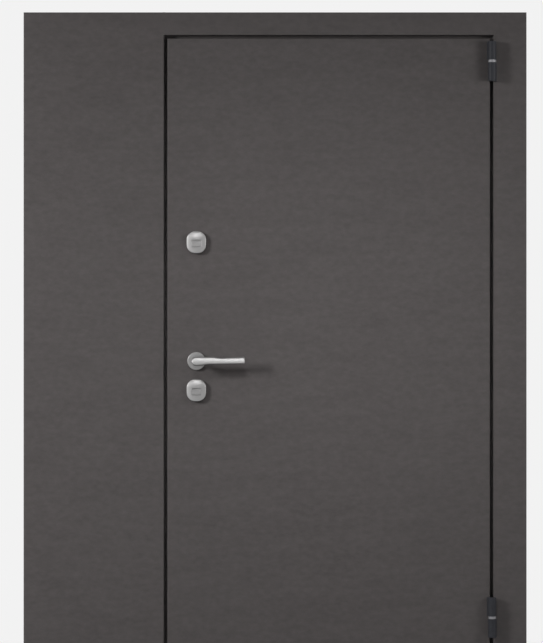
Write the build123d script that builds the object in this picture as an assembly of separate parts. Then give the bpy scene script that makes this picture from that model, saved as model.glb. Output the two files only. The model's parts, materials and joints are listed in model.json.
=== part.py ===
from build123d import *
import os

# A steel entrance door: a hinged leaf beside a fixed blind side panel, in a frame of folded sheet.
# Sizes are in millimetres. X runs to the right along the face, Y into the building and Z up.
# The origin is the middle of the threshold's underside.

# Frame
DOOR_WIDTH = 1500.0  # over the wall flanges
DOOR_HEIGHT = 2050.0  # floor to the top of the wall flange
FRAME_DEPTH = 110.0  # face to back
SHEET = 2.0  # sheet of frame, panel and leaf
BEND = 3.0  # outer radius of the folds that show on the face
FLANGE_LAP = 50.0  # how far the face laps over the wall beyond the frame's box
FLANGE_LIP = 10.0  # depth of the return along the flange's edge
SIDE_PANEL_FACE = 419.0  # width of the fixed panel's face
JAMB_FACE = 99.0  # width of the hinge jamb's face
HEAD_FACE = 68.0  # height of the head's face
SILL_FACE = 35.0  # height of the threshold's front
REBATE_LIP = 22.0  # width of the landing that the leaf's edge laps over
POST_WIDTH = 49.0  # lock post, behind the panel's face
OUTER_POST_WIDTH = 60.0  # post behind the panel's outer edge
RAIL_HEIGHT = 50.0  # rails at the panel's top and bottom
TREAD_SHEET = 1.5  # stainless tread on the threshold

# Leaf
EDGE_GAP = 10.0  # between the leaf's edge and the frame's face
EDGE_RETURN = 18.0  # depth of the folded edge round the leaf
LEAF_DEPTH = 88.0  # outer face to inner face
BODY_GAP = 13.0  # between the leaf's inner tray and the reveal
SEAL_WIDTH = 10.0
SEAL_HEIGHT = 7.0
SEAL_ROUND = 3.0  # rounding of the seal's crown
SEAL_CLEARANCE = 5.0  # between the seal and the leaf's folded edge

# Hinges: barrel halves welded along the edges of leaf and jamb, turning on a pin
HINGE_RADIUS = 12.0
HINGE_STANDOFF = 5.5  # between the barrel and the faces behind it
HINGE_HALF_LENGTH = 55.5
HINGE_EDGE = 1.0  # chamfer at the barrel's outer end
BEARING_HEIGHT = 8.0
PIN_RADIUS = 6.0
PIN_CLEARANCE = 0.05
PIN_REACH = 40.0  # how far the pin enters the upper half
PIN_END_ROOM = 3.0  # room above the pin in its bore
AXIAL_PLAY = 0.2
FOOT_SETBACK = 0.5  # from the fold at the leaf's or jamb's edge to the weld foot
FOOT_WIDTH = 6.0
FOOT_THICKNESS = 2.5  # upright edge of the foot along its weld
UPPER_HINGE_DROP = 147.0  # from the door's top to the upper bearing
LOWER_HINGE_HEIGHT = 247.0

# Locks and handle
HARDWARE_BACKSET = 86.5  # from the leaf's lock edge to the hardware's axis
HANDLE_HEIGHT = 1010.0
CYLINDER_DROP = 87.0  # from the handle's axis down to the lower keyhole
UPPER_LOCK_HEIGHT = 1364.0
ESCUTCHEON_WIDTH = 58.0
ESCUTCHEON_HEIGHT = 66.0
ESCUTCHEON_ROUND = 25.0  # corner radius of its outline
ESCUTCHEON_RIM = 4.0  # upright rim at the door's face
ESCUTCHEON_DEPTH = 15.0
ESCUTCHEON_TAPER = 20.0  # degrees, slope of the dome's flank
CROWN_ROUND = 6.0
WINDOW_WIDTH = 30.0  # recess for the keyhole cover
WINDOW_HEIGHT = 20.0
WINDOW_DROP = 4.0  # below the escutcheon's middle
WINDOW_DEPTH = 5.0
COVER_MARGIN = 0.3  # round the cover in its recess
COVER_THICKNESS = 3.5
COVER_ROUND = 1.0
NAIL_GROOVE_WIDTH = 23.0  # groove to slide the cover by
NAIL_GROOVE_HEIGHT = 4.0
NAIL_GROOVE_RISE = 6.0  # above the cover's middle
NAIL_GROOVE_DEPTH = 2.0
ROSE_RADIUS = 27.0
ROSE_DEPTH = 9.0
ROSE_BEVEL = 2.5
NECK_RADIUS = 9.0
NECK_CLEARANCE = 0.3
LEVER_LENGTH = 145.0  # from the handle's axis to the tip
LEVER_HUB = 13.5  # radius of the bar's end over the neck, and height of its shoulder
LEVER_SHOULDER_AT = 50.0  # along the bar, where its top edge starts to fall
LEVER_WAIST_AT = 72.0
LEVER_WAIST = 9.8  # height of the top edge there
LEVER_TIP = 13.5
LEVER_HEEL_AT = 10.0  # along the bar, where its lower edge starts to rise
LEVER_BELLY_AT = 34.0
LEVER_BELLY = 9.6  # depth of the lower edge there
LEVER_TIP_BELLY = 8.0
LEVER_SWEEP = 60.0  # radius of the bends along the bar
LEVER_BAR = 14.0  # thickness of the bar
LEVER_PROJECTION = 60.0  # from the leaf's face to the front of the bar
LEVER_ROUND = 4.0  # rounding along the front of the bar
LEVER_BACK_BEVEL = 1.5
LEVER_CORNER = 5.0  # rounding of the tip
SPINDLE_SIDE = 8.0
SPINDLE_PLAY = 0.1
SPINDLE_REACH = 20.0  # how far it enters each lever's neck
SPINDLE_HOLE_RADIUS = 7.0
FACEPLATE_LENGTH = 240.0
FACEPLATE_WIDTH = 25.0
FACEPLATE_THICKNESS = 2.0
BOLT_RADIUS = 8.0
BOLT_LENGTH = 25.0
BOLT_PLAY = 0.2
UPPER_BOLT_SPACING = 40.0
LOWER_BOLT_SPACING = 25.0
LATCH_RISE = 32.0  # latch above the handle's axis
LATCH_HEIGHT = 22.0
LATCH_WIDTH = 14.0
STRIKE_WIDTH = 30.0
STRIKE_THICKNESS = 1.5
STRIKE_PLAY = 1.0  # round the bolts' and the latch's holes in the strike

# Wall anchors
ANCHOR_RADIUS = 6.0
ANCHOR_OUTER_SPACING = 1550.0
ANCHOR_INNER_SPACING = 550.0

OVERCUT = 1.0  # how far a cutting block passes through what it cuts

# Faces and edges of the frame
left = -DOOR_WIDTH / 2
right = DOOR_WIDTH / 2
face = -FRAME_DEPTH / 2
back = FRAME_DEPTH / 2
box_left = left + FLANGE_LAP
box_right = right - FLANGE_LAP
box_top = DOOR_HEIGHT - FLANGE_LAP
opening_left = left + SIDE_PANEL_FACE
opening_right = right - JAMB_FACE
opening_top = DOOR_HEIGHT - HEAD_FACE
opening_bottom = SILL_FACE
rebate_depth = EDGE_RETURN + SEAL_CLEARANCE + SEAL_HEIGHT
landing = face + rebate_depth
reveal_left = opening_left + REBATE_LIP
reveal_right = opening_right - REBATE_LIP
reveal_top = opening_top - REBATE_LIP
reveal_bottom = opening_bottom + REBATE_LIP
post_left = opening_left - POST_WIDTH
outer_post_right = box_left + OUTER_POST_WIDTH

# Faces and edges of the leaf
leaf_left = opening_left + EDGE_GAP
leaf_right = opening_right - EDGE_GAP
leaf_top = opening_top - EDGE_GAP
leaf_bottom = opening_bottom + EDGE_GAP
edge_back = face + EDGE_RETURN
leaf_back = face + LEAF_DEPTH
body_left = reveal_left + BODY_GAP
body_right = reveal_right - BODY_GAP
body_top = reveal_top - BODY_GAP
body_bottom = reveal_bottom + BODY_GAP

# Axes
hinge_x = (leaf_right + opening_right) / 2
hinge_y = face - HINGE_STANDOFF - HINGE_RADIUS
hardware_x = leaf_left + HARDWARE_BACKSET
cylinder_height = HANDLE_HEIGHT - CYLINDER_DROP
lock_y = (edge_back + leaf_back) / 2
anchor_y = (landing + back) / 2
anchor_z = DOOR_HEIGHT / 2

# Bolt and latch heights on the leaf's lock edge
upper_bolts = [UPPER_LOCK_HEIGHT + UPPER_BOLT_SPACING * step for step in (-1, 0, 1)]
lower_bolts = [cylinder_height + LOWER_BOLT_SPACING * step for step in (-1, 0, 1)]
latch_z = HANDLE_HEIGHT + LATCH_RISE
lower_lock_z = (latch_z + cylinder_height) / 2

outside = Plane((hardware_x, face, 0), x_dir=(1, 0, 0), z_dir=(0, -1, 0))
leaf_middle = Plane((0, (face + leaf_back) / 2, 0), x_dir=(1, 0, 0), z_dir=(0, 1, 0))


def block(x, y, z):
    """A plain block between pairs of limits along X, Y and Z."""
    limits = (x, y, z)
    centre = [(low + high) / 2 for low, high in limits]
    size = [high - low for low, high in limits]
    return Pos(*centre) * Box(*size)


def upright(outline, z):
    """A post from its outline in plan."""
    return extrude(Pos(0, 0, z[0]) * Polygon(*outline, align=None), amount=z[1] - z[0], dir=(0, 0, 1))


def crossbar(outline, x):
    """A rail along X from its outline of (Y, Z) points."""
    section = Plane.YZ.offset(x[0]) * Polygon(*outline, align=None)
    return extrude(section, amount=x[1] - x[0], dir=(1, 0, 0))


def cross_hole(radius, x, y, z):
    """A cylinder along X, for a hole or a bolt."""
    return Pos((x[0] + x[1]) / 2, y, z) * Rot(0, 90, 0) * Cylinder(radius, x[1] - x[0])


def rebate_section(face_width, box_width):
    """Outline and hollow of a folded frame profile, as (across, deep) points.

    Across runs from the doorway's edge outwards and deep from the face backwards.
    """
    rim = face_width - SHEET
    outline = [
        (0, 0),
        (face_width, 0),
        (face_width, FLANGE_LIP),
        (rim, FLANGE_LIP),
        (rim, SHEET),
        (box_width, SHEET),
        (box_width, FRAME_DEPTH),
        (-REBATE_LIP, FRAME_DEPTH),
        (-REBATE_LIP, rebate_depth),
        (0, rebate_depth),
    ]
    hollow = [
        (SHEET, SHEET),
        (box_width - SHEET, SHEET),
        (box_width - SHEET, FRAME_DEPTH - SHEET),
        (SHEET - REBATE_LIP, FRAME_DEPTH - SHEET),
        (SHEET - REBATE_LIP, rebate_depth + SHEET),
        (SHEET, rebate_depth + SHEET),
    ]
    return outline, hollow


def tube(x, y, z, open_along):
    """A rectangular tube, open at both ends along one axis."""
    inner = []
    for axis, (low, high) in zip("xyz", (x, y, z)):
        inset = -OVERCUT if axis == open_along else SHEET
        inner.append((low + inset, high - inset))
    return block(x, y, z) - block(*inner)


def anchor_holes(x):
    """Wall anchor holes through a jamb along X."""
    heights = [
        anchor_z + side * spacing / 2
        for spacing in (ANCHOR_OUTER_SPACING, ANCHOR_INNER_SPACING)
        for side in (-1, 1)
    ]
    return [cross_hole(ANCHOR_RADIUS, x, anchor_y, z) for z in heights]


def fold(sheet, *sides):
    """Rounds the folds along the named sides of a sheet's face."""
    edges = sheet.faces().sort_by(Axis.Y)[0].edges()
    picked = {
        "left": edges.sort_by(Axis.X)[0],
        "right": edges.sort_by(Axis.X)[-1],
        "bottom": edges.sort_by(Axis.Z)[0],
        "top": edges.sort_by(Axis.Z)[-1],
    }
    return fillet([picked[side] for side in sides], BEND)


def hinge_jamb():
    """A folded box post whose face runs on past the head, with the weld there dressed flush."""
    outline, hollow = rebate_section(JAMB_FACE, JAMB_FACE - FLANGE_LAP)
    solid, void = (
        [(opening_right + across, face + deep) for across, deep in points]
        for points in (outline, hollow)
    )
    shaft = fold(upright(solid, (0, opening_top)), "left", "right")
    corner = upright(solid, (opening_top, DOOR_HEIGHT))
    corner -= block(
        (reveal_right - OVERCUT, box_right),
        (face + SHEET, back + OVERCUT),
        (box_top, DOOR_HEIGHT + OVERCUT),
    )
    corner += block(
        (opening_right, right), (face, face + FLANGE_LIP), (DOOR_HEIGHT - SHEET, DOOR_HEIGHT)
    )
    jamb = shaft + fold(corner, "right", "top") - upright(void, (-OVERCUT, box_top))
    return jamb - anchor_holes((reveal_right - OVERCUT, box_right + OVERCUT))


def frame_head():
    outline, hollow = rebate_section(HEAD_FACE, HEAD_FACE - FLANGE_LAP)
    solid, void = (
        [(face + deep, opening_top + across) for across, deep in points]
        for points in (outline, hollow)
    )
    head = fold(crossbar(solid, (opening_left, opening_right)), "bottom", "top")
    head -= crossbar(void, (opening_left - OVERCUT, opening_right + OVERCUT))
    return cope(head, reveal_top, box_top)


def cope(rail, bottom, top):
    """Cuts a rail's ends back where the posts' landings pass."""
    for x in (
        (opening_left - OVERCUT, reveal_left),
        (reveal_right, opening_right + OVERCUT),
    ):
        rail -= block(x, (landing, back + OVERCUT), (bottom - OVERCUT, top + OVERCUT))
    return rail


def threshold():
    solid = [
        (face, 0),
        (face, opening_bottom),
        (landing, opening_bottom),
        (landing, reveal_bottom),
        (back, reveal_bottom),
        (back, 0),
    ]
    void = [
        (face + SHEET, SHEET),
        (face + SHEET, opening_bottom - SHEET),
        (landing + SHEET, opening_bottom - SHEET),
        (landing + SHEET, reveal_bottom - SHEET),
        (back - SHEET, reveal_bottom - SHEET),
        (back - SHEET, SHEET),
    ]
    sill = fold(crossbar(solid, (opening_left, opening_right)), "top")
    sill -= crossbar(void, (opening_left - OVERCUT, opening_right + OVERCUT))
    return cope(sill, 0, reveal_bottom)


def threshold_plate():
    tread = (reveal_bottom, reveal_bottom + TREAD_SHEET)
    return block((reveal_left, reveal_right), (landing, back), tread)


def lock_post():
    front = face + SHEET
    rear = back - SHEET
    edge = opening_left - SHEET
    solid = [
        (post_left, front),
        (edge, front),
        (edge, landing),
        (reveal_left, landing),
        (reveal_left, rear),
        (post_left, rear),
    ]
    void = [
        (post_left + SHEET, front + SHEET),
        (edge - SHEET, front + SHEET),
        (edge - SHEET, landing + SHEET),
        (reveal_left - SHEET, landing + SHEET),
        (reveal_left - SHEET, rear - SHEET),
        (post_left + SHEET, rear - SHEET),
    ]
    post = upright(solid, (0, box_top)) - upright(void, (-OVERCUT, box_top + OVERCUT))
    wall = (reveal_left - SHEET - OVERCUT, reveal_left + OVERCUT)
    return post - strike_holes(wall, upper_bolts) - strike_holes(wall, lower_bolts) - latch(wall, STRIKE_PLAY)


def outer_jamb():
    post = tube((box_left, outer_post_right), (face + SHEET, back - SHEET), (0, box_top), "z")
    return post - anchor_holes((box_left - OVERCUT, outer_post_right + OVERCUT))


def side_panel_skin():
    skin = block((left, opening_left), (face, face + SHEET), (0, DOOR_HEIGHT))
    lip = (face, face + FLANGE_LIP)
    skin += block((left, left + SHEET), lip, (0, DOOR_HEIGHT))
    skin += block((left, opening_left), lip, (DOOR_HEIGHT - SHEET, DOOR_HEIGHT))
    skin += block((opening_left - SHEET, opening_left), lip, (0, DOOR_HEIGHT))
    skin += block((opening_left - SHEET, opening_left), (face, landing), (0, box_top))
    return fold(skin, "left", "right", "top")


def side_panel_back():
    return block((box_left, reveal_left), (back - SHEET, back), (0, box_top))


def side_panel_rail(z):
    return tube((outer_post_right, post_left), (face + SHEET, back - SHEET), z, "x")


def seals():
    """Seals on the landing, under the middle of the leaf's lap."""
    margin = (REBATE_LIP - EDGE_GAP - SEAL_WIDTH) / 2
    outer = margin + SEAL_WIDTH
    section = RectangleRounded(SEAL_WIDTH, 2 * SEAL_HEIGHT, SEAL_ROUND)
    section &= Pos(0, SEAL_HEIGHT / 2) * Rectangle(SEAL_WIDTH, SEAL_HEIGHT)
    middle = margin + SEAL_WIDTH / 2
    z = (reveal_bottom - outer, reveal_top + outer)
    x = (reveal_left - margin, reveal_right + margin)
    nodes = {}
    for name, centre in (("lock", reveal_left - middle), ("hinge", reveal_right + middle)):
        start = Plane((centre, landing, z[0]), x_dir=(-1, 0, 0), z_dir=(0, 0, 1))
        nodes[f"seal_{name}_side"] = extrude(start * section, amount=z[1] - z[0], dir=(0, 0, 1))
    for name, centre in (("head", reveal_top + middle), ("threshold", reveal_bottom - middle)):
        start = Plane((x[0], landing, centre), x_dir=(0, 0, 1), z_dir=(1, 0, 0))
        nodes[f"seal_{name}"] = extrude(start * section, amount=x[1] - x[0], dir=(1, 0, 0))
    return nodes


def leaf_skin():
    """The outer sheet folded back round all four edges, with a hem behind."""
    x = (leaf_left, leaf_right)
    z = (leaf_bottom, leaf_top)
    skin = fold(block(x, (face, edge_back), z), "left", "right", "top", "bottom")
    skin -= block(
        (x[0] + SHEET, x[1] - SHEET),
        (face + SHEET, edge_back - SHEET),
        (z[0] + SHEET, z[1] - SHEET),
    )
    skin -= block((body_left, body_right), (face + SHEET, edge_back + OVERCUT), (body_bottom, body_top))
    return skin - spindle_hole()


def leaf_body():
    """The inner tray, open towards the outer sheet."""
    x = (body_left, body_right)
    z = (body_bottom, body_top)
    tray = block(x, (face + SHEET, leaf_back), z)
    tray -= block(
        (x[0] + SHEET, x[1] - SHEET),
        (face, leaf_back - SHEET),
        (z[0] + SHEET, z[1] - SHEET),
    )
    wall = (body_left - OVERCUT, body_left + SHEET + OVERCUT)
    tray -= bolts(wall, upper_bolts + lower_bolts, BOLT_PLAY)
    return tray - latch(wall, BOLT_PLAY) - spindle_hole()


def spindle_hole():
    depth = LEAF_DEPTH + 2 * OVERCUT
    middle = (face + leaf_back) / 2
    return Pos(hardware_x, middle, HANDLE_HEIGHT) * Rot(90, 0, 0) * Cylinder(SPINDLE_HOLE_RADIUS, depth)


def bolts(x, heights, play):
    """Round bolts on the lock's plane, or the holes round them."""
    return [cross_hole(BOLT_RADIUS + play, x, lock_y, z) for z in heights]


def strike_holes(x, heights):
    return bolts(x, heights, STRIKE_PLAY)


def latch(x, play):
    """The latch bolt, or the slot round it."""
    half_width = LATCH_WIDTH / 2 + play
    half_height = LATCH_HEIGHT / 2 + play
    return block(x, (lock_y - half_width, lock_y + half_width), (latch_z - half_height, latch_z + half_height))


def edge_plate(x, width, z):
    """An upright plate with round ends on the lock's plane."""
    plate = SlotOverall(FACEPLATE_LENGTH, width, rotation=90)
    start = Plane((x[0], lock_y, z), x_dir=(0, 1, 0), z_dir=(1, 0, 0))
    return extrude(start * plate, amount=x[1] - x[0], dir=(1, 0, 0))


def lock_plates():
    face_x = (body_left - FACEPLATE_THICKNESS, body_left)
    strike_x = (reveal_left, reveal_left + STRIKE_THICKNESS)
    bolt_x = (face_x[0], face_x[0] + BOLT_LENGTH)
    nodes = {}
    for name, z, heights in (
        ("upper", UPPER_LOCK_HEIGHT, upper_bolts),
        ("lower", lower_lock_z, lower_bolts),
    ):
        plate = edge_plate(face_x, FACEPLATE_WIDTH, z) - bolts(face_x, heights, BOLT_PLAY)
        strike = edge_plate(strike_x, STRIKE_WIDTH, z) - strike_holes(strike_x, heights)
        if name == "lower":
            plate -= latch(face_x, BOLT_PLAY)
            strike -= latch(strike_x, STRIKE_PLAY)
        nodes[f"{name}_lock_faceplate"] = plate
        nodes[f"{name}_strike_plate"] = strike
        nodes[f"{name}_lock_bolts"] = Compound(bolts(bolt_x, heights, 0))
    nodes["latch_bolt"] = latch(bolt_x, 0)
    return nodes


def hinge_half(side):
    """A barrel half with its weld foot: side -1 is the leaf's, above, and side 1 the frame's, below."""
    foot_near = EDGE_GAP / 2 + BEND + FOOT_SETBACK
    foot = Pos(side * (foot_near + FOOT_WIDTH / 2), HINGE_RADIUS + HINGE_STANDOFF - FOOT_THICKNESS / 2)
    outline = Circle(HINGE_RADIUS).edges() + (foot * Rectangle(FOOT_WIDTH, FOOT_THICKNESS)).edges()
    half = extrude(make_hull(outline), amount=-side * HINGE_HALF_LENGTH)
    outer_end = half.faces().sort_by(Axis.Z)[-1 if side < 0 else 0]
    return chamfer(outer_end.edges(), HINGE_EDGE)


def hinge(name, height):
    centre = Pos(hinge_x, hinge_y, height)
    half_bearing = BEARING_HEIGHT / 2
    upper_base = half_bearing + AXIAL_PLAY
    bore_radius = PIN_RADIUS + PIN_CLEARANCE
    bore = Pos(0, 0, upper_base) * extrude(Circle(bore_radius), amount=PIN_REACH + PIN_END_ROOM)
    upper = Pos(0, 0, upper_base) * hinge_half(-1) - bore
    pin = Pos(0, 0, -half_bearing) * extrude(Circle(PIN_RADIUS), amount=BEARING_HEIGHT + PIN_REACH)
    lower = Pos(0, 0, -half_bearing) * hinge_half(1) + pin
    ring = Cylinder(HINGE_RADIUS, BEARING_HEIGHT) - Cylinder(bore_radius, BEARING_HEIGHT)
    return {
        f"{name}_hinge_leaf_half": centre * upper,
        f"{name}_hinge_frame_half": centre * lower,
        f"{name}_hinge_bearing": centre * ring,
    }


def escutcheon():
    """A domed lock guard with a recess for the keyhole cover, and the cover in it."""
    outline = RectangleRounded(ESCUTCHEON_WIDTH, ESCUTCHEON_HEIGHT, ESCUTCHEON_ROUND)
    rim = extrude(outline, amount=ESCUTCHEON_RIM)
    flank = ESCUTCHEON_DEPTH - ESCUTCHEON_RIM
    dome = rim + extrude(Pos(0, 0, ESCUTCHEON_RIM) * outline, amount=flank, taper=ESCUTCHEON_TAPER)
    dome = fillet(dome.faces().sort_by(Axis.Z)[-1].edges(), CROWN_ROUND)
    floor = ESCUTCHEON_DEPTH - WINDOW_DEPTH
    window = Rectangle(WINDOW_WIDTH, WINDOW_HEIGHT)
    dome -= Pos(0, -WINDOW_DROP, floor) * extrude(window, amount=WINDOW_DEPTH + OVERCUT)
    cover = extrude(
        Rectangle(WINDOW_WIDTH - 2 * COVER_MARGIN, WINDOW_HEIGHT - 2 * COVER_MARGIN),
        amount=COVER_THICKNESS,
    )
    cover = fillet(cover.faces().sort_by(Axis.Z)[-1].edges(), COVER_ROUND)
    groove = extrude(Rectangle(NAIL_GROOVE_WIDTH, NAIL_GROOVE_HEIGHT), amount=NAIL_GROOVE_DEPTH + OVERCUT)
    cover -= Pos(0, NAIL_GROOVE_RISE, COVER_THICKNESS - NAIL_GROOVE_DEPTH) * groove
    return dome, Pos(0, -WINDOW_DROP, floor) * cover


def handle_rose():
    rose = extrude(Circle(ROSE_RADIUS), amount=ROSE_DEPTH)
    rose = chamfer(rose.faces().sort_by(Axis.Z)[-1].edges(), ROSE_BEVEL)
    return rose - extrude(Circle(NECK_RADIUS + NECK_CLEARANCE), amount=ROSE_DEPTH)


def lever():
    """A flat bar with a waved top edge on a round neck, with a square socket for the spindle."""
    corners = [
        (0, LEVER_HUB),
        (LEVER_SHOULDER_AT, LEVER_HUB),
        (LEVER_WAIST_AT, LEVER_WAIST),
        (LEVER_LENGTH, LEVER_TIP),
        (LEVER_LENGTH, -LEVER_TIP_BELLY),
        (LEVER_BELLY_AT, -LEVER_BELLY),
        (LEVER_HEEL_AT, -LEVER_HUB),
        (0, -LEVER_HUB),
    ]
    outline = make_face([CenterArc((0, 0), LEVER_HUB, 90, 180), Polyline(*corners)])
    outline = fillet(outline.vertices().group_by(Axis.X)[-1], LEVER_CORNER)
    bends = outline.vertices().filter_by_position(Axis.X, LEVER_HEEL_AT, LEVER_WAIST_AT)
    outline = fillet(bends, LEVER_SWEEP)
    bar_back = LEVER_PROJECTION - LEVER_BAR
    bar = extrude(Pos(0, 0, bar_back) * outline, amount=LEVER_BAR)
    bar = fillet(bar.faces().sort_by(Axis.Z)[-1].edges(), LEVER_ROUND)
    bar = chamfer(bar.faces().sort_by(Axis.Z)[0].edges(), LEVER_BACK_BEVEL)
    neck = Pos(0, 0, AXIAL_PLAY) * extrude(Circle(NECK_RADIUS), amount=LEVER_PROJECTION - LEVER_BAR / 2)
    socket_side = SPINDLE_SIDE + 2 * SPINDLE_PLAY
    socket = extrude(Rectangle(socket_side, socket_side), amount=AXIAL_PLAY + SPINDLE_REACH)
    return bar + neck - socket


def spindle():
    reach = AXIAL_PLAY + SPINDLE_REACH
    half = SPINDLE_SIDE / 2
    return block(
        (hardware_x - half, hardware_x + half),
        (face - reach, leaf_back + reach),
        (HANDLE_HEIGHT - half, HANDLE_HEIGHT + half),
    )


def both_sides(name, piece, height):
    """A piece of hardware on the outside of the leaf, and its twin inside."""
    outer = outside * Pos(0, height) * piece
    return {f"{name}_outside": outer, f"{name}_inside": mirror(outer, about=leaf_middle)}


def door():
    nodes = {
        "hinge_jamb": hinge_jamb(),
        "frame_head": frame_head(),
        "lock_post": lock_post(),
        "outer_jamb": outer_jamb(),
        "threshold": threshold(),
        "threshold_plate": threshold_plate(),
        "side_panel_skin": side_panel_skin(),
        "side_panel_back": side_panel_back(),
        "side_panel_head": side_panel_rail((box_top - RAIL_HEIGHT, box_top)),
        "side_panel_sill": side_panel_rail((0, RAIL_HEIGHT)),
        "leaf_skin": leaf_skin(),
        "leaf_body": leaf_body(),
        "spindle": spindle(),
    }
    nodes |= seals()
    nodes |= lock_plates()
    nodes |= hinge("upper", DOOR_HEIGHT - UPPER_HINGE_DROP)
    nodes |= hinge("lower", LOWER_HINGE_HEIGHT)
    dome, cover = escutcheon()
    for name, height in (("upper", UPPER_LOCK_HEIGHT), ("lower", cylinder_height)):
        nodes |= both_sides(f"{name}_escutcheon", dome, height)
        nodes |= both_sides(f"{name}_keyhole_cover", cover, height)
    nodes |= both_sides("handle_rose", handle_rose(), HANDLE_HEIGHT)
    nodes |= both_sides("lever", lever(), HANDLE_HEIGHT)
    return nodes


os.makedirs("parts", exist_ok=True)
for node, shape in door().items():
    export_step(shape, f"parts/{node}.step")
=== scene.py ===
# %% [markdown]
# A steel entrance door with a fixed side panel
#
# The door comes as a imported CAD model: folded sheets, posts, seals, locks and hinges, all in metres and in
# one frame. This lesson dresses it. It remakes the small turned and cast pieces with round edges, gives
# every surface its finish, and sets up the studio that the picture was taken in.
# X runs to the right along the door, Y into the building and Z up, so the camera looks along +Y.

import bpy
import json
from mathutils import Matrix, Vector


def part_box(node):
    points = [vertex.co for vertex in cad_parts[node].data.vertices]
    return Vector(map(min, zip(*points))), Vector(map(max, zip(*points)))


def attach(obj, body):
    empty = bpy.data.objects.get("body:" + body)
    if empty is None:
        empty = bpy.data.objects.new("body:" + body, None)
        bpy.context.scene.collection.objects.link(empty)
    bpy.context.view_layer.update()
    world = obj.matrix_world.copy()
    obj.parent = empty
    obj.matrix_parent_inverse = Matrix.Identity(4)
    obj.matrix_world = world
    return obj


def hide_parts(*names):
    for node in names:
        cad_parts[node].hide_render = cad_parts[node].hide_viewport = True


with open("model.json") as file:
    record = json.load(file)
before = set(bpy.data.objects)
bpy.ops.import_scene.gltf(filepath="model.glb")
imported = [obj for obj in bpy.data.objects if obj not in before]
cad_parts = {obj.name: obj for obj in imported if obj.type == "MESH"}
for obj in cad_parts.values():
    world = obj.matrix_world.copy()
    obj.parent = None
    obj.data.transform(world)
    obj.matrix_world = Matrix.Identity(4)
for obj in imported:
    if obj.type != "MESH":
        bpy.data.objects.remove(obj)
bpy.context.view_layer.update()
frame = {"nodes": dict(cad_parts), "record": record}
nodes = frame["nodes"]

# %% [markdown]
# From a bmesh to a piece on the door
#
# Each new piece is drawn in millimetres at the origin, because that is how a maker reads a drawing. A
# matrix then scales it to metres and puts it where the CAD node is. The place ends up in the mesh and the
# object stays at the origin, so patterns on Object coordinates lie still. Edges sharper than an angle stay
# sharp, all others are shaded smooth, and a Weighted Normal modifier keeps the large flat faces flat.

# %% Piece helper
import json
import math

import bmesh
import bpy
from mathutils import Matrix, Vector

MM = 0.001
MERGE_DISTANCE = 1e-6
SHARP_ANGLE = math.radians(14)
slots = [material["slot"] for material in frame["record"]["materials"]]
pieces = {slot: [] for slot in slots}


def make_piece(bm, name, place, body, slot, *replaced):
    """Turns a bmesh in millimetres into a piece that rides on a body."""
    bmesh.ops.transform(bm, matrix=place @ Matrix.Scale(MM, 4), verts=bm.verts)
    bmesh.ops.remove_doubles(bm, verts=bm.verts, dist=MERGE_DISTANCE)
    bmesh.ops.recalc_face_normals(bm, faces=bm.faces)
    mesh = bpy.data.meshes.new(name)
    bm.to_mesh(mesh)
    bm.free()
    mesh.shade_smooth()
    mesh.set_sharp_from_angle(angle=SHARP_ANGLE)
    piece = bpy.data.objects.new(name, mesh)
    bpy.context.scene.collection.objects.link(piece)
    shading = piece.modifiers.new("even_shading", "WEIGHTED_NORMAL")
    shading.keep_sharp = True
    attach(piece, body)
    if replaced:
        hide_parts(*replaced)
    pieces[slot].append(piece)
    return piece


print("finishes:", ", ".join(slots))

# %% [markdown]
# Where the hardware sits
#
# Locks and hinges come at two levels. Handles and guards come in pairs, one on each face of the leaf. Both
# of a pair are drawn once, with x to the right, y up and z away from the leaf. Outside, z runs along -Y.
# Inside it runs along +Y, which is a mirror image, and the piece helper turns its normals out again.

# %% Places on the leaf
SIDES = {"outside": -1, "inside": 1}
LEVELS = ("upper", "lower")


def seat(node, side):
    """The matrix from a drawing to the leaf's face under a node."""
    low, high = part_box(node)
    middle = (low + high) / 2
    base = high.y if side == "outside" else low.y
    turned = Matrix(((1, 0, 0, 0), (0, 0, SIDES[side], 0), (0, 1, 0, 0), (0, 0, 0, 1)))
    return Matrix.Translation((middle.x, base, middle.z)) @ turned


def size_of(node):
    """A node's width, depth and height in millimetres."""
    low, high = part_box(node)
    return (high - low) / MM


handle_axis = seat("handle_rose_outside", "outside").translation
print("handle axis:", [round(value, 4) for value in handle_axis])

# %% [markdown]
# Drawing on flat faces
#
# Cast hardware is mostly an outline with soft edges and a few pockets. It could be sculpted, or cut with
# boolean solids. Here every form starts as one flat face with bevelled corners. To swell it, the face is
# inset again and again while it rises along a quarter of an ellipse. The outlines stay exact and the mesh
# stays small.

# %% Helpers for outlines and swelling
ARC_STEPS = 9


def rounded_plate(bm, width, height, corner, centre=(0, 0, 0)):
    """Draws one flat face with round corners and returns it."""
    made = bmesh.ops.create_grid(bm, x_segments=1, y_segments=1, size=0.5)
    bmesh.ops.scale(bm, vec=(width, height, 1), verts=made["verts"])
    bmesh.ops.translate(bm, vec=centre, verts=made["verts"])
    before = set(bm.faces) - set(made["verts"][0].link_faces)
    bmesh.ops.bevel(
        bm, geom=made["verts"], offset=corner, affect="VERTICES", segments=ARC_STEPS, profile=0.5,
        material=-1,
    )
    return next(face for face in bm.faces if face not in before)


def lift(bm, face, rise):
    """Raises a face straight up."""
    bmesh.ops.inset_individual(bm, faces=[face], thickness=0, depth=rise, use_even_offset=True)


def swell(bm, face, inset, rise):
    """Raises a face along a quarter ellipse, inset by inset."""
    angles = [math.pi / 2 * step / ARC_STEPS for step in range(ARC_STEPS + 1)]
    for near, far in zip(angles, angles[1:]):
        thickness = inset * (math.cos(near) - math.cos(far))
        depth = rise * (math.sin(far) - math.sin(near))
        bmesh.ops.inset_individual(bm, faces=[face], thickness=thickness, depth=depth, use_even_offset=True)


def close(bm):
    """Fills whatever loop of edges is still open."""
    bmesh.ops.edgeloop_fill(bm, edges=[edge for edge in bm.edges if edge.is_boundary])


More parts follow.
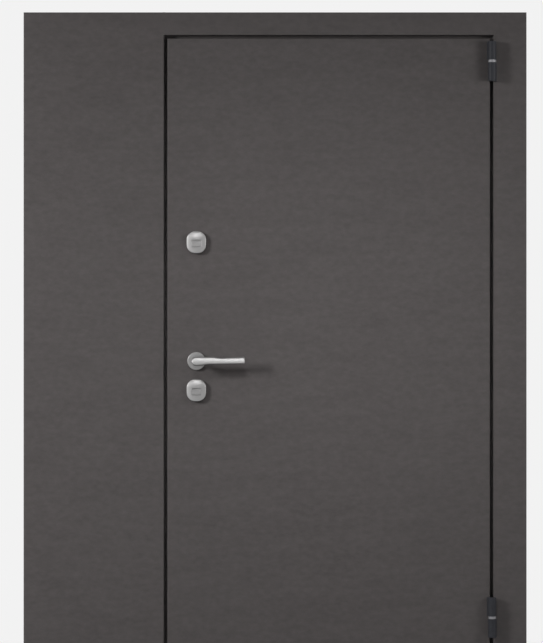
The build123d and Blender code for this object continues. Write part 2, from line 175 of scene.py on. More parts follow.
print("arcs have", ARC_STEPS, "steps for a quarter turn")

# %% [markdown]
# Pockets and strips
#
# For a pocket or a boss, a smaller loop is laid into a face, the ring between the two is filled, and the
# loop is pushed in or pulled out and closed. That keeps the skin whole, where a boolean would leave slivers.
# A face that is to be curved later is first cut into strips, because only its own vertices can move.

# %% Helpers for pockets and strips
EDGE_STEPS = 4
FLAT_WITHIN = 1e-4


def push_loop(bm, face, loop, shift, edge):
    """Opens a face along a loop that lies on it, then shifts and closes the loop. Edge rounds the bend."""
    rim = face.edges[:]
    bmesh.ops.delete(bm, geom=[face], context="FACES_ONLY")
    bmesh.ops.triangle_fill(bm, edges=rim + loop, use_beauty=True)
    wall = bmesh.ops.extrude_edge_only(bm, edges=loop)["geom"]
    end = [item for item in wall if isinstance(item, bmesh.types.BMVert)]
    bmesh.ops.translate(bm, vec=(0, 0, shift), verts=end)
    close(bm)
    bmesh.ops.bevel(
        bm, geom=loop, offset=edge, affect="EDGES", segments=EDGE_STEPS, profile=0.5, material=-1
    )


def pocket(bm, face, width, height, corner, centre, depth, edge):
    """Sinks a pocket with round corners into a flat face."""
    plate = rounded_plate(bm, width, height, corner, centre)
    mouth = plate.edges[:]
    bmesh.ops.delete(bm, geom=[plate], context="FACES_ONLY")
    push_loop(bm, face, mouth, -depth, edge)


def faces_at(bm, height):
    """Faces that lie flat at one height."""
    return [face for face in bm.faces if all(abs(vert.co.z - height) < FLAT_WITHIN for vert in face.verts)]


def cut_strips(bm, height, cuts, across):
    """Cuts the flat faces at one height into strips."""
    for cut in cuts:
        faces = faces_at(bm, height)
        edges = {edge for face in faces for edge in face.edges}
        verts = {vert for face in faces for vert in face.verts}
        bmesh.ops.bisect_plane(
            bm, geom=faces + list(edges) + list(verts), plane_co=Vector(across) * cut, plane_no=across,
            dist=FLAT_WITHIN,
        )


print("a face counts as flat within", FLAT_WITHIN, "mm")

# %% [markdown]
# Lock guards
#
# Each lock has a guard on both faces: a satin casting with steep flanks, a front that rounds off to both
# sides and to the brow at its top, and a recess, where a small cover slides over the keyhole. The rounding
# could be a boolean with a ball. Here the front is cut into a grid and pressed down, more towards its rim,
# and the flanks are pressed with it, so the skin stays whole.

# %% Guard drawing
GUARD_CORNER = 25
GUARD_EDGE = (2, 3)
BROW_START = 9
BROW_GRID = 3
BROW_FALL = 0.0115
FRONT_TURN = 0.005
WINDOW_MARGIN = 0.3
WINDOW_CORNER = 2
MOUTH_EDGE = 0.7


def press_front(bm, width, depth, height):
    """Rounds a guard's front, to both sides and to its top."""
    cut_strips(bm, depth, range(BROW_START, int(height / 2), BROW_GRID), (0, 1, 0))
    cut_strips(bm, depth, range(-int(width / 2), int(width / 2), BROW_GRID), (1, 0, 0))
    for vert in bm.verts:
        rise = max(0, vert.co.y - BROW_START)
        fall = BROW_FALL * rise**2 + FRONT_TURN * vert.co.x**2
        vert.co.z *= 1 - fall / depth


def lock_guard(guard_size, cover_size, cover_drop):
    """Draws a guard with a recess at the cover's place on it."""
    width, depth, height = guard_size
    bm = bmesh.new()
    face = rounded_plate(bm, width, height, GUARD_CORNER)
    lift(bm, face, depth - GUARD_EDGE[1])
    swell(bm, face, *GUARD_EDGE)
    close(bm)
    window_width = cover_size.x + 2 * WINDOW_MARGIN
    window_height = cover_size.z + 2 * WINDOW_MARGIN
    window_depth = depth - cover_drop.z
    mouth = (cover_drop.x, cover_drop.y, depth)
    front = faces_at(bm, depth)[0]
    pocket(bm, front, window_width, window_height, WINDOW_CORNER, mouth, window_depth, MOUTH_EDGE)
    press_front(bm, width, depth, height)
    return bm


brow_top = size_of("upper_escutcheon_outside").z / 2
print("brow falls back by", round(BROW_FALL * (brow_top - BROW_START) ** 2, 1), "mm")

# %% [markdown]
# Keyhole covers
#
# The cover is a small plate that slides in the recess, with a groove along its upper half for a fingernail.
# It is drawn like the guard: an outline, a rounded edge and a pocket.

# %% Cover drawing
COVER_CORNER = 1.8
COVER_EDGE = 1
GROOVE_WIDTH = 23
GROOVE_HEIGHT = 4
GROOVE_RISE = 6
GROOVE_DEPTH = 2
GROOVE_CORNER = 1.9
GROOVE_EDGE = 0.5


def keyhole_cover(size):
    """Draws a cover with its groove."""
    width, thickness, height = size
    bm = bmesh.new()
    face = rounded_plate(bm, width, height, COVER_CORNER)
    lift(bm, face, thickness - COVER_EDGE)
    swell(bm, face, COVER_EDGE, COVER_EDGE)
    close(bm)
    groove = (0, GROOVE_RISE, thickness)
    front = faces_at(bm, thickness)[0]
    pocket(bm, front, GROOVE_WIDTH, GROOVE_HEIGHT, GROOVE_CORNER, groove, GROOVE_DEPTH, GROOVE_EDGE)
    return bm


print("groove:", GROOVE_WIDTH, "x", GROOVE_HEIGHT, "x", GROOVE_DEPTH, "mm")

# %% [markdown]
# Fitting guards and covers
#
# A door has the same guard four times: two locks, each seen from both faces. The sizes and places could be
# written down again, but they are read from the CAD nodes, so the dressed pieces follow the solids.

# %% Guards and covers on the door
for lock in LEVELS:
    for side in SIDES:
        guard = f"{lock}_escutcheon_{side}"
        cover = f"{lock}_keyhole_cover_{side}"
        guard_place, cover_place = seat(guard, side), seat(cover, side)
        cover_drop = (guard_place.inverted() @ cover_place.translation) / MM
        guard_mesh = lock_guard(size_of(guard), size_of(cover), cover_drop)
        make_piece(guard_mesh, f"{lock}_lock_guard_{side}", guard_place, "leaf", "satin_nickel", guard)
        cover_mesh = keyhole_cover(size_of(cover))
        make_piece(cover_mesh, f"{lock}_cover_{side}", cover_place, "leaf", "cover_nickel", cover)
print("cover's place on its guard in mm:", [round(value, 2) for value in cover_drop])

# %% [markdown]
# Handle roses
#
# A rose is a turned disc with a bore for the lever's neck. A lathe makes it, and so does a spin: half of
# its section is drawn as a short chain of edges and swept once round the axis.

# %% Spin helpers
SPIN_STEPS = 64


def spun(profile):
    """Spins a closed half section of (radius, height) points round the Z axis."""
    bm = bmesh.new()
    verts = [bmesh.ops.create_vert(bm, co=(radius, 0, height))["vert"][0] for radius, height in profile]
    edges = [bm.edges.new(pair) for pair in zip(verts, verts[1:] + verts[:1])]
    bmesh.ops.spin(
        bm, geom=verts + edges, cent=(0, 0, 0), axis=(0, 0, 1), angle=math.tau, steps=SPIN_STEPS,
        use_merge=True,
    )
    return bm


def arc(centre, radii, start, end):
    """Points of a quarter ellipse in a section, between two angles in degrees."""
    angles = [math.radians(start + (end - start) * step / ARC_STEPS) for step in range(ARC_STEPS + 1)]
    return [(centre[0] + radii[0] * math.cos(a), centre[1] + radii[1] * math.sin(a)) for a in angles]


print("a full turn has", SPIN_STEPS, "steps")

# %% [markdown]
# The section of a rose
#
# The foot that lies on the leaf is parted from the cap by a fine groove, and the cap has a soft outer edge.
# Both show as thin lines of light and shade, which a plain disc would lack.

# %% Roses on the door
ROSE_BORE = 9.3
ROSE_FOOT = 1.6
ROSE_GROOVE = 0.7
ROSE_ROUND = (2.5, 3)
ROSE_MOUTH = (1, 0.6)


def rose(size):
    """Spins a rose to a node's size."""
    radius, depth = size.x / 2, size.y
    foot = [(ROSE_BORE, 0), (radius, 0), (radius, ROSE_FOOT), (radius - ROSE_GROOVE, ROSE_FOOT)]
    cap = [(radius - ROSE_GROOVE, ROSE_FOOT + ROSE_GROOVE), (radius, ROSE_FOOT + ROSE_GROOVE)]
    crown = arc((radius - ROSE_ROUND[0], depth - ROSE_ROUND[1]), ROSE_ROUND, 0, 90)
    mouth = [(ROSE_BORE + ROSE_MOUTH[0], depth), (ROSE_BORE, depth - ROSE_MOUTH[1])]
    return spun(foot + cap + crown + mouth)


for side in SIDES:
    node = f"handle_rose_{side}"
    make_piece(rose(size_of(node)), f"rose_{side}", seat(node, side), "leaf", "satin_nickel", node)
print("rose across and deep in mm:", [round(value, 2) for value in size_of(node)])

# %% [markdown]
# Lever outline
#
# The lever is a cast bar on a round neck. Seen from the front its top edge dips past the neck and rises
# again towards a square-cut tip. A traced curve would need many points. A chain of eight corners on a half
# circle, with the corners bevelled into arcs, gives the same line and is easy to change.

# %% Lever outline
LEVER_HUB = 13.5
LEVER_OUTLINE = [
    (0, LEVER_HUB), (50, LEVER_HUB), (72, 9.8), (145, 13.5), (145, -8), (34, -9.6), (10, -LEVER_HUB),
    (0, -LEVER_HUB),
]
LEVER_TIP_CORNER = 4.8
LEVER_BEND = 9
HUB_SIDE = -0.01


def lever_outline(bm, height):
    """Draws the bar's outline as one face that looks up."""
    corners = [bmesh.ops.create_vert(bm, co=(x, y, height))["vert"][0] for x, y in LEVER_OUTLINE]
    circle = bmesh.ops.create_circle(
        bm, segments=4 * ARC_STEPS, radius=LEVER_HUB, matrix=Matrix.Translation((0, 0, height))
    )["verts"]
    hub = sorted((vert for vert in circle if vert.co.x < HUB_SIDE), key=lambda vert: vert.co.y)
    bmesh.ops.delete(bm, geom=[vert for vert in circle if vert not in hub], context="VERTS")
    bm.faces.new(corners + hub)
    rounding = {"affect": "VERTICES", "segments": ARC_STEPS, "profile": 0.5, "material": -1}
    bends = corners[1:3] + corners[5:7]
    bmesh.ops.bevel(bm, geom=corners[3:5], offset=LEVER_TIP_CORNER, **rounding)
    bmesh.ops.bevel(bm, geom=bends, offset=LEVER_BEND, **rounding)
    face = bm.faces[:][0]
    bm.normal_update()
    if face.normal.z < 0:
        face.normal_flip()
    return face


print("lever outline has", len(LEVER_OUTLINE), "corners")

# %% [markdown]
# Lever body
#
# The bar's front is crowned: strips are cut along the bar and pressed down towards its edges, so that a
# long highlight runs along it. The neck is pulled out of the bar's back, so that bar and neck are one skin
# with a fillet between them, as in a casting. Two solids stuck together would show a hard corner there.

# %% Levers on the door
LEVER_FRONT = 60
LEVER_BAR = 14
LEVER_EDGE = (4.6, 5)
LEVER_CROWN = 0.016
CROWN_AXIS = -6
CROWN_CUTS = range(-8, 13, 2)
CROWN_REACH = 1
NECK_RADIUS = 9
NECK_END = 0.2
NECK_FILLET = 3


def crown_front(bm):
    """Cuts the front into strips along the bar and presses them down towards its edges."""
    cut_strips(bm, LEVER_FRONT, CROWN_CUTS, (0, 1, 0))
    for vert in bm.verts:
        if vert.co.z > LEVER_FRONT - LEVER_EDGE[1] - CROWN_REACH:
            vert.co.z -= LEVER_CROWN * (vert.co.y - CROWN_AXIS) ** 2


def lever():
    """Draws a lever with its neck, from the leaf's face outwards."""
    bm = bmesh.new()
    bar_back = LEVER_FRONT - LEVER_BAR
    face = lever_outline(bm, bar_back)
    lift(bm, face, LEVER_BAR - LEVER_EDGE[1])
    swell(bm, face, *LEVER_EDGE)
    close(bm)
    crown_front(bm)
    cut_strips(bm, bar_back, [LEVER_HUB], (1, 0, 0))
    hub_back = min(faces_at(bm, bar_back), key=lambda face: face.calc_center_median().x)
    circle = bmesh.ops.create_circle(
        bm, segments=4 * ARC_STEPS, radius=NECK_RADIUS, matrix=Matrix.Translation((0, 0, bar_back))
    )["verts"]
    neck = list({edge for vert in circle for edge in vert.link_edges})
    push_loop(bm, hub_back, neck, NECK_END - bar_back, NECK_FILLET)
    return bm


levers = []
for side in SIDES:
    place = seat(f"handle_rose_{side}", side)
    name = f"lever_handle_{side}"
    levers.append(make_piece(lever(), name, place, "handle", "satin_nickel", f"lever_{side}"))
print("levers:", [piece.name for piece in levers])

# %% [markdown]
# Hinges
#
# Two barrel hinges carry the leaf. Each barrel is cut in two: the upper half is welded to the leaf and the
# lower half to the jamb, with a bright bearing ring between. A barrel and its weld foot could be drawn as
# an outline of arcs and tangents. The convex hull of two circles and a narrow rectangle is the same bar.

# %% Hinge drawings
HINGE_STANDOFF = 5.5
HINGE_EDGE = 1.4
HULL_ANGLE = math.radians(1)
FOOT_NEAR = 8.5
FOOT_WIDTH = 6
FOOT_EDGE = 2.5
RING_BORE = 6.05
RING_EDGE = 0.8


def barrel_half(side, radius, length):
    """Side -1 is the leaf's half, which rises from the origin, and 1 the frame's, which hangs down."""
    bm = bmesh.new()
    back = radius + HINGE_STANDOFF
    outer_end = -side * length
    for z in (0, outer_end):
        bmesh.ops.create_circle(bm, segments=SPIN_STEPS, radius=radius, matrix=Matrix.Translation((0, 0, z)))
        for x in (FOOT_NEAR, FOOT_NEAR + FOOT_WIDTH):
            for y in (back - FOOT_EDGE, back):
                bmesh.ops.create_vert(bm, co=(side * x, y, z))
    hull = bmesh.ops.convex_hull(bm, input=bm.verts[:])
    inner = [item for item in hull["geom_interior"] if isinstance(item, bmesh.types.BMVert)]
    bmesh.ops.delete(bm, geom=inner, context="VERTS")
    bmesh.ops.dissolve_limit(bm, angle_limit=HULL_ANGLE, verts=bm.verts[:], edges=bm.edges[:])
    rim = [edge for edge in bm.edges if all(abs(vert.co.z - outer_end) < FLAT_WITHIN for vert in edge.verts)]
    bmesh.ops.bevel(
        bm, geom=rim, offset=HINGE_EDGE, affect="EDGES", segments=EDGE_STEPS, profile=0.5, material=-1
    )
    return bm


def bearing_ring(radius, height):
    """Spins a ring with round outer edges, half above the origin and half below."""
    half = height / 2
    lower = arc((radius - RING_EDGE, RING_EDGE - half), (RING_EDGE, RING_EDGE), -90, 0)
    upper = arc((radius - RING_EDGE, half - RING_EDGE), (RING_EDGE, RING_EDGE), 0, 90)
    return spun([(RING_BORE, -half)] + lower + upper + [(RING_BORE, half)])


print("weld foot reaches", FOOT_NEAR + FOOT_WIDTH, "mm from the pin")

# %% [markdown]
# Fitting the hinges
#
# The halves have to meet at the bearing, because the leaf turns there. So each half is drawn from the
# bearing outwards, as far as its own CAD node reaches, and it rides on the body that it is welded to.

# %% Hinges on the door
for name in LEVELS:
    ring = f"{name}_hinge_bearing"
    low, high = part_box(ring)
    axis = (low + high) / 2
    radius, _, ring_height = size_of(ring) / 2
    ring_mesh = bearing_ring(radius, 2 * ring_height)
    make_piece(ring_mesh, f"{name}_hinge_ring", Matrix.Translation(axis), "frame", "bearing_steel", ring)
    for half, side in (("leaf", -1), ("frame", 1)):
        node = f"{name}_hinge_{half}_half"
        bottom, top = (corner.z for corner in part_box(node))
        joint = bottom if half == "leaf" else low.z
        length = (top - bottom if half == "leaf" else low.z - bottom) / MM
        place = Matrix.Translation((axis.x, axis.y, joint))
        barrel = barrel_half(side, radius, length)
        make_piece(barrel, f"{name}_hinge_barrel_{half}", place, half, "hinge_paint", node)
print("hinge pieces:", len(pieces["hinge_paint"]) + len(pieces["bearing_steel"]))

# %% [markdown]
# Frame joint
#
# Where the head meets the side panel, the two folded edges leave a groove. On the real frame the joint is
# welded, filled and ground flush before it is coated, so that no line shows. A thin strip over the groove
# does the same: it wears the same coat, and stands out by less than the coat is thick.

# %% Filler over the joint
FILLER_WIDTH = 7
FILLER_DEPTH = 1
FILLER_PROUD = 0.06
HEAD_GAP = 10
low, high = (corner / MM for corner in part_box("frame_head"))
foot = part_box("leaf_skin")[1].z / MM + HEAD_GAP
bm = bmesh.new()
bmesh.ops.create_cube(bm, size=1)
bmesh.ops.scale(bm, vec=(FILLER_WIDTH, FILLER_DEPTH, high.z - foot), verts=bm.verts)
centre = Vector((low.x, low.y - FILLER_PROUD + FILLER_DEPTH / 2, (high.z + foot) / 2))
make_piece(bm, "head_joint_filler", Matrix.Translation(centre * MM), "frame", "powder_coat")
print("joint filled over", round(high.z - foot, 1), "mm")

# %% [markdown]
# Screws
#
# Countersunk screws with hexagon sockets hold the lock plates, the strike plates and the tread. They could
# be a bump in the material, but a real head catches the light at its edge. A screw is a low swollen disc
# with a six-sided pocket, drawn flat and then turned to look out of its plate.

# %% Screw drawing
SCREW_RADIUS = 4
SCREW_STEPS = 24
SCREW_SINK = 0.6
SCREW_EDGE = (1, 0.4)
SOCKET_SIDES = 6
SOCKET_RADIUS = 2
SOCKET_DEPTH = 0.8
SOCKET_EDGE = 0.15


def add_screw(bm, place, outward):
    """Adds one screw head to a drawing, at a place in millimetres."""
    before = set(bm.verts)
    sunk = Matrix.Translation((0, 0, -SCREW_SINK))
    disc = bmesh.ops.create_circle(
        bm, cap_ends=True, segments=SCREW_STEPS, radius=SCREW_RADIUS, matrix=sunk
    )
    face = disc["verts"][0].link_faces[0]
    lift(bm, face, SCREW_SINK)
    swell(bm, face, *SCREW_EDGE)
    close(bm)
    top = Matrix.Translation((0, 0, SCREW_EDGE[1]))
    socket = bmesh.ops.create_circle(bm, segments=SOCKET_SIDES, radius=SOCKET_RADIUS, matrix=top)["verts"]
    loop = list({edge for vert in socket for edge in vert.link_edges})
    push_loop(bm, face, loop, -SOCKET_DEPTH, SOCKET_EDGE)
    turned = outward.to_track_quat("Z", "Y").to_matrix().to_4x4()
    own = [vert for vert in bm.verts if vert not in before]
    bmesh.ops.transform(bm, matrix=Matrix.Translation(place) @ turned, verts=own)


print("screw head:", 2 * SCREW_RADIUS, "mm across")

# %% [markdown]
# Fitting the screws
#
# Each upright plate has a screw near both ends, and the tread has a row of four. All the screws of a body
# are one mesh, because they are alike and never move apart.

# %% Screws on the plates
SCREW_INSET = 14
TREAD_SCREWS = 4
TREAD_SCREW_INSET = 60
leaf_screws = bmesh.new()
frame_screws = bmesh.new()
for lock in LEVELS:
    for bm, node, outward in (
        (leaf_screws, f"{lock}_lock_faceplate", -1),
        (frame_screws, f"{lock}_strike_plate", 1),
    ):
        low, high = (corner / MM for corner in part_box(node))
        x = low.x if outward < 0 else high.x
        for z in (low.z + SCREW_INSET, high.z - SCREW_INSET):
            add_screw(bm, Vector((x, (low.y + high.y) / 2, z)), Vector((outward, 0, 0)))
low, high = (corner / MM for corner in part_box("threshold_plate"))
tread_run = high.x - low.x - 2 * TREAD_SCREW_INSET
for step in range(TREAD_SCREWS):
    x = low.x + TREAD_SCREW_INSET + tread_run * step / (TREAD_SCREWS - 1)
    add_screw(frame_screws, Vector((x, (low.y + high.y) / 2, high.z)), Vector((0, 0, 1)))
make_piece(leaf_screws, "lock_plate_screws", Matrix.Identity(4), "leaf", "bolt_steel")
make_piece(frame_screws, "strike_and_tread_screws", Matrix.Identity(4), "frame", "bolt_steel")
print("screw heads:", [len(piece.data.polygons) for piece in pieces["bolt_steel"]], "faces")

# %% [markdown]
# Node helpers for the finishes
#
# Every finish is a small node tree round one Principled shader. A helper adds a node, sets its inputs and
# returns it, so that each tree below reads as a list of what the surface is made of. Noise is read from
# Object coordinates, which are metres here, so a scale of 1000 makes grains of a millimetre.

# %% Material helpers
def new_finish(name):
    """Starts a finish and returns it with its node tree and shader."""
    material = bpy.data.materials.new(name)
    material.use_nodes = True
    return material, material.node_tree, material.node_tree.nodes["Principled BSDF"]


def add(tree, kind, links=None, **values):
    """Adds a node. Values are its own settings, and links set its inputs from numbers or other sockets."""
    node = tree.nodes.new(kind)
    for key, value in values.items():
        setattr(node, key, value)
    for key, value in (links or {}).items():
        if isinstance(value, bpy.types.NodeSocket):
            tree.links.new(value, node.inputs[key])
        else:
            node.inputs[key].default_value = value
    return node


def grain(tree, scale, detail=3):
    """A noise over the surface, with a scale for each axis, as a socket from 0 to 1."""
    coordinate = add(tree, "ShaderNodeTexCoord")
    mapped = add(tree, "ShaderNodeMapping", {"Vector": coordinate.outputs["Object"], "Scale": scale})
    settings = {"Vector": mapped.outputs["Vector"], "Scale": 1, "Detail": detail}
    return add(tree, "ShaderNodeTexNoise", settings).outputs["Fac"]


print("finishes to make:", len(slots))

# %% [markdown]
# What a noise can do to a surface
#
# One noise may shade the colour, change how rough the surface is and raise it as a fine relief. Driven by
# the same grain, the three agree, as they do on a real coat, where a raised speck is also paler and duller.

# %% Surface helpers
TINT_STOPS = (0.25, 0.75)


def tint(tree, shader, value, colour, spread):
    """Lets the base colour vary round its mean with a noise."""
    ramp = add(tree, "ShaderNodeValToRGB", {"Fac": value})
    for element, place, side in zip(ramp.color_ramp.elements, TINT_STOPS, (-1, 1)):
        element.position = place
        element.color = [part * (1 + side * spread) for part in colour] + [1]
    tree.links.new(ramp.outputs["Color"], shader.inputs["Base Color"])


def roughen(tree, shader, value, low, high):
    """Lets the roughness vary between two levels with a noise."""
    level = add(tree, "ShaderNodeMapRange", {"Value": value, "To Min": low, "To Max": high})
    tree.links.new(level.outputs["Result"], shader.inputs["Roughness"])


def emboss(tree, shader, value, strength, depth):
    """Raises a noise as a fine relief, with its depth in millimetres."""
    bump = add(tree, "ShaderNodeBump", {"Height": value, "Strength": strength, "Distance": depth * MM})
    tree.links.new(bump.outputs["Normal"], shader.inputs["Normal"])


print("a tint runs over the noise from", *TINT_STOPS)

# %% [markdown]
# Powder coat
#
# The sheets wear a dark warm grey coat, sprayed as powder and baked, with a fine grain that you can feel.
# A fine noise gives the grain its height. A coarser one mottles the colour as the powder settles unevenly,
# and a broad flat one draws the faint bands where the spray passes overlapped.

# %% Powder coat
PAINT = (0.0835, 0.0762, 0.0755)
COAT_GRAIN = (420, 420, 420)
COAT_MOTTLE = (48, 48, 80)
COAT_BANDS = (5, 5, 26)
MOTTLE_SHARE = 0.62
BAND_SHARE = 0.22
COAT_SPREAD = 0.2
COAT_ROUGHNESS = (0.55, 0.75)
COAT_RELIEF = (0.35, 0.6)
COAT_SHINE = 0.1


def blend(tree, share, first, second):
    """Mixes two noises into one."""
    links = {"Factor": share, "A": first, "B": second}
    return add(tree, "ShaderNodeMix", links, data_type="FLOAT").outputs["Result"]


def powder_coat():
    """Makes the coat of frame, panel and leaf."""
    material, tree, shader = new_finish("grey_powder_coat")
    fine = grain(tree, COAT_GRAIN)
    mottle = grain(tree, COAT_MOTTLE, detail=4)
    bands = grain(tree, COAT_BANDS, detail=2)
    mixed = blend(tree, BAND_SHARE, blend(tree, MOTTLE_SHARE, fine, mottle), bands)
    tint(tree, shader, mixed, PAINT, COAT_SPREAD)
    roughen(tree, shader, fine, *COAT_ROUGHNESS)
    emboss(tree, shader, fine, *COAT_RELIEF)
    shader.inputs["Specular IOR Level"].default_value = COAT_SHINE
    return material


print("coat's mean colour:", PAINT)

# %% [markdown]
# Bare metal
#
# The tread and plates are brushed stainless steel, the guards and levers satin nickel, the bearing rings
# turned steel. All of them are metals whose roughness and shade follow a grain. Stretching the noise along
# one axis turns that grain into brush marks, and an even one reads as a blasted, satin surface.

# %% Metals
METAL_SPREAD = 0.08
METAL_PLAY = 0.06
METAL_RELIEF = (0.08, 0.2)
SATIN = (900, 900, 900)
BRUSHED_ACROSS = (30, 1500, 1500)
BRUSHED_UPRIGHT = (1500, 1500, 30)
BRUSHED_DEEP = (1500, 40, 1500)
TURNED = (20, 20, 3000)


def metal(name, colour, roughness, scale):
    """Makes a bare metal with its marks."""
    material, tree, shader = new_finish(name)
    marks = grain(tree, scale, detail=4)
    tint(tree, shader, marks, colour, METAL_SPREAD)
    roughen(tree, shader, marks, roughness - METAL_PLAY, roughness + METAL_PLAY)
    emboss(tree, shader, marks, *METAL_RELIEF)
    shader.inputs["Metallic"].default_value = 1
    return material


print("brush marks are stretched", BRUSHED_UPRIGHT[0] // BRUSHED_UPRIGHT[2], "times")

# %% [markdown]
# Paint and rubber
#
# The hinges are sprayed in a smoother and darker paint than the sheets, and the seals are black rubber.
# Both are dull coats without metal in them, so one recipe serves both with other numbers.

# %% Dull coats
SPECKLE = (300, 300, 300)
SPECKLE_SPREAD = 0.2
SPECKLE_PLAY = 0.08
SPECKLE_RELIEF = (0.1, 0.3)


def dull_coat(name, colour, roughness, shine):
    """Makes a dull coat with a faint speckle."""
    material, tree, shader = new_finish(name)
    speckle = grain(tree, SPECKLE)
    tint(tree, shader, speckle, colour, SPECKLE_SPREAD)
    roughen(tree, shader, speckle, roughness - SPECKLE_PLAY, roughness + SPECKLE_PLAY)
    emboss(tree, shader, speckle, *SPECKLE_RELIEF)
    shader.inputs["Specular IOR Level"].default_value = shine
    return material


print("speckles of about", round(1 / SPECKLE[0] / MM, 1), "mm")

# %% [markdown]
# Finishes on every piece
#
# The CAD record names a slot for each node, and each new piece was given one too, so one table of finishes
# dresses the whole door. Satin and brushed metals mirror the pale studio, so their own colours are low.
# Two kinds differ from the rest of their slot. The levers' nickel is paler, a painted sheen for the
# highlight that their crowned bars catch, and it is also rougher. The upright plates are brushed along their
# own length, as the tread is along its own.

# %% Finishes on every piece
STAINLESS = (0.27, 0.27, 0.265)
FINISHES = {
    "powder_coat": powder_coat(),
    "hinge_paint": dull_coat("dark_hinge_paint", (0.030, 0.031, 0.036), 0.5, 0.12),
    "bearing_steel": metal("turned_bearing_steel", (0.21, 0.209, 0.218), 0.7, TURNED),
    "seal_rubber": dull_coat("black_rubber", (0.010, 0.010, 0.011), 0.75, 0.1),
    "stainless": metal("brushed_stainless", STAINLESS, 0.42, BRUSHED_ACROSS),
    "bolt_steel": metal("plated_bolt_steel", (0.24, 0.24, 0.235), 0.35, BRUSHED_DEEP),
    "satin_nickel": metal("satin_nickel", (0.265, 0.262, 0.261), 0.42, SATIN),
    "cover_nickel": metal("darker_nickel", (0.25, 0.247, 0.246), 0.46, SATIN),
}
# The levers' nickel is paler than the guards', a painted sheen; only its higher roughness is real.
LEVER_NICKEL_PAINTED_SHEEN = metal("lever_nickel_painted_sheen", (0.292, 0.289, 0.288), 0.46, SATIN)
UPRIGHT_STAINLESS = metal("upright_stainless", STAINLESS, 0.42, BRUSHED_UPRIGHT)
for row in frame["record"]["subparts"]:
    pieces[row["material_slot"]].append(nodes[row["node"]])
for slot, members in pieces.items():
    for piece in members:
        piece.data.materials.clear()
        piece.data.materials.append(FINISHES[slot])
    print(slot, len(members))
for piece in levers:
    piece.data.materials[0] = LEVER_NICKEL_PAINTED_SHEEN
for lock in LEVELS:
    for plate in ("strike_plate", "lock_faceplate"):
        nodes[f"{lock}_{plate}"].data.materials[0] = UPRIGHT_STAINLESS

# %% [markdown]
# Paper round the door
#
# The picture is a catalogue shot on a pale ground, so there is nothing but a floor sheet and the light grey
# round it. To the camera, and in reflections, the world has the colour of that paper. It gives little
# light, so that the lamps do the shading.

# %% World
PAPER = (0.888, 0.888, 0.888, 1)
AMBIENT = 0.04


def seen_directly(tree):
    """1 for rays from the camera, from reflections and through glass, and 0 for light."""
    path = add(tree, "ShaderNodeLightPath")
    mirror = {0: path.outputs["Is Camera Ray"], 1: path.outputs["Is Glossy Ray"]}
    seen = add(tree, "ShaderNodeMath", mirror, operation="MAXIMUM").outputs["Value"]
    glass = {0: seen, 1: path.outputs["Is Transmission Ray"]}
    return add(tree, "ShaderNodeMath", glass, operation="MAXIMUM").outputs["Value"]


world = bpy.data.worlds.new("studio")
bpy.context.scene.world = world
world.use_nodes = True
background = world.node_tree.nodes["Background"]
background.inputs["Color"].default_value = PAPER
limits = {"Value": seen_directly(world.node_tree), "To Min": AMBIENT, "To Max": 1}
level = add(world.node_tree, "ShaderNodeMapRange", limits)
world.node_tree.links.new(level.outputs["Result"], background.inputs["Strength"])
print("the world lights at", AMBIENT)

# %% [markdown]
# Floor
#
# Near the door the floor is a real surface that takes the shadow, and further out it fades into the paper.
# A floor that stayed real out to the horizon would show an edge there. The fade follows the distance from
# the origin, which is the middle of the threshold.

# %% Floor
FLOOR_COLOUR = (0.74, 0.74, 0.74, 1)
FLOOR_ROUGHNESS = 0.9
FADE_START = 0.55
FADE_END = 1.15
FLOOR_REACH = 12


def floor_paper():
    """Makes the floor's material, real near the door and paper further out."""
    material, tree, shader = new_finish("pale_floor")
    shader.inputs["Base Color"].default_value = FLOOR_COLOUR
    shader.inputs["Roughness"].default_value = FLOOR_ROUGHNESS
    coordinate = add(tree, "ShaderNodeTexCoord")
    away = add(tree, "ShaderNodeVectorMath", {0: coordinate.outputs["Object"]}, operation="LENGTH")
    limits = {"Value": away.outputs["Value"], "From Min": FADE_START, "From Max": FADE_END}
    fade = add(tree, "ShaderNodeMapRange", limits)
    seen = {0: seen_directly(tree), 1: fade.outputs["Result"]}
    amount = add(tree, "ShaderNodeMath", seen, operation="MULTIPLY")
    glow = add(tree, "ShaderNodeEmission", {"Color": PAPER, "Strength": 1})
    both = {0: amount.outputs["Value"], 1: shader.outputs["BSDF"], 2: glow.outputs["Emission"]}
    mixed = add(tree, "ShaderNodeMixShader", both)
    tree.links.new(mixed.outputs["Shader"], tree.nodes["Material Output"].inputs["Surface"])
    return material


bm = bmesh.new()
bmesh.ops.create_grid(bm, x_segments=1, y_segments=1, size=FLOOR_REACH)
floor_mesh = bpy.data.meshes.new("floor")
bm.to_mesh(floor_mesh)
bm.free()
floor = bpy.data.objects.new("floor", floor_mesh)
bpy.context.scene.collection.objects.link(floor)
floor.data.materials.append(floor_paper())
print("floor reaches", FLOOR_REACH, "m and is paper from", FADE_END, "m")

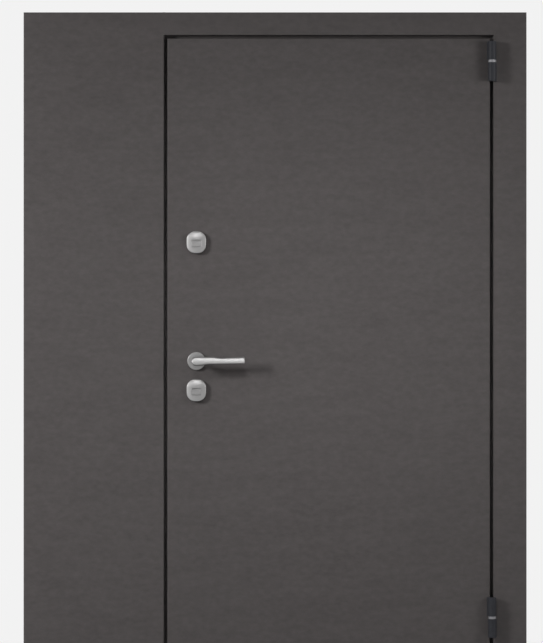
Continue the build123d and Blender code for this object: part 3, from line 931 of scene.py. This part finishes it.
# %% [markdown]
# Lamps
#
# Soft lamps stand to the left and right of the door and one hangs above the camera. The side lamps rake
# across the sheets. The left one hangs high, so the shadows of guards and lever fall to the right and down.
# The right one throws the shadows to the left of the hinges. The upper one, in a narrow cone, throws the
# shadow close under the lever and lights the brows of the guards. Where each cone is aimed decides how the
# light falls off towards the door's edges. Two more lamps behind the door are for looking at its back.

# %% Lamps
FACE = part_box("leaf_skin")[0].y


def soft_lamp(name, place, target, size, power, spread):
    """Hangs an area lamp, with its power in watts and the spread of its cone in degrees."""
    lamp = bpy.data.lights.new(name, "AREA")
    lamp.shape = "RECTANGLE"
    lamp.size, lamp.size_y = size
    lamp.energy = power
    lamp.spread = math.radians(spread)
    holder = bpy.data.objects.new(name, lamp)
    holder.location = place
    holder.rotation_euler = (Vector(target) - Vector(place)).to_track_quat("-Z", "Y").to_euler()
    bpy.context.scene.collection.objects.link(holder)
    print(name, power, "W")


soft_lamp("left_lamp", (-3.8, -2.45, 2.3), (-1.19, FACE, 1.15), (0.9, 1.0), power=40.4, spread=83)
soft_lamp("right_lamp", (2.7, -1.6, 1.7), (-0.3, FACE, 1.52), (0.9, 1.2), power=14.9, spread=110)
soft_lamp("upper_lamp", (-0.2, -2.65, 2.95), (0.25, FACE, 0.99), (0.9, 0.5), power=1.67, spread=36)
for side, x in (("left", -3.0), ("right", 3.0)):
    soft_lamp(f"back_{side}_lamp", (x, 2.6, 1.9), (0, 0, 1.0), (1.2, 1.6), power=40, spread=120)

# %% [markdown]
# Camera
#
# The door is seen squarely from the front, from far enough away that its upright edges stay parallel. The
# picture cuts it off above the floor, just under the lower hinge, so the camera does too.

# %% Camera
CAMERA_DISTANCE = 9.0
CAMERA_SIDE = -0.0106
CAMERA_HEIGHT = 1.128
LENS = 169
SENSOR_WIDTH = 36
camera_data = bpy.data.cameras.new("camera")
camera_data.lens = LENS
camera_data.sensor_width = SENSOR_WIDTH
camera = bpy.data.objects.new("camera", camera_data)
camera.location = (CAMERA_SIDE, FACE - CAMERA_DISTANCE, CAMERA_HEIGHT)
camera.rotation_euler = (math.radians(90), 0, 0)
bpy.context.scene.collection.objects.link(camera)
bpy.context.scene.camera = camera
bpy.context.scene.view_settings.view_transform = "Standard"
print("camera at", [round(value, 3) for value in camera.location])
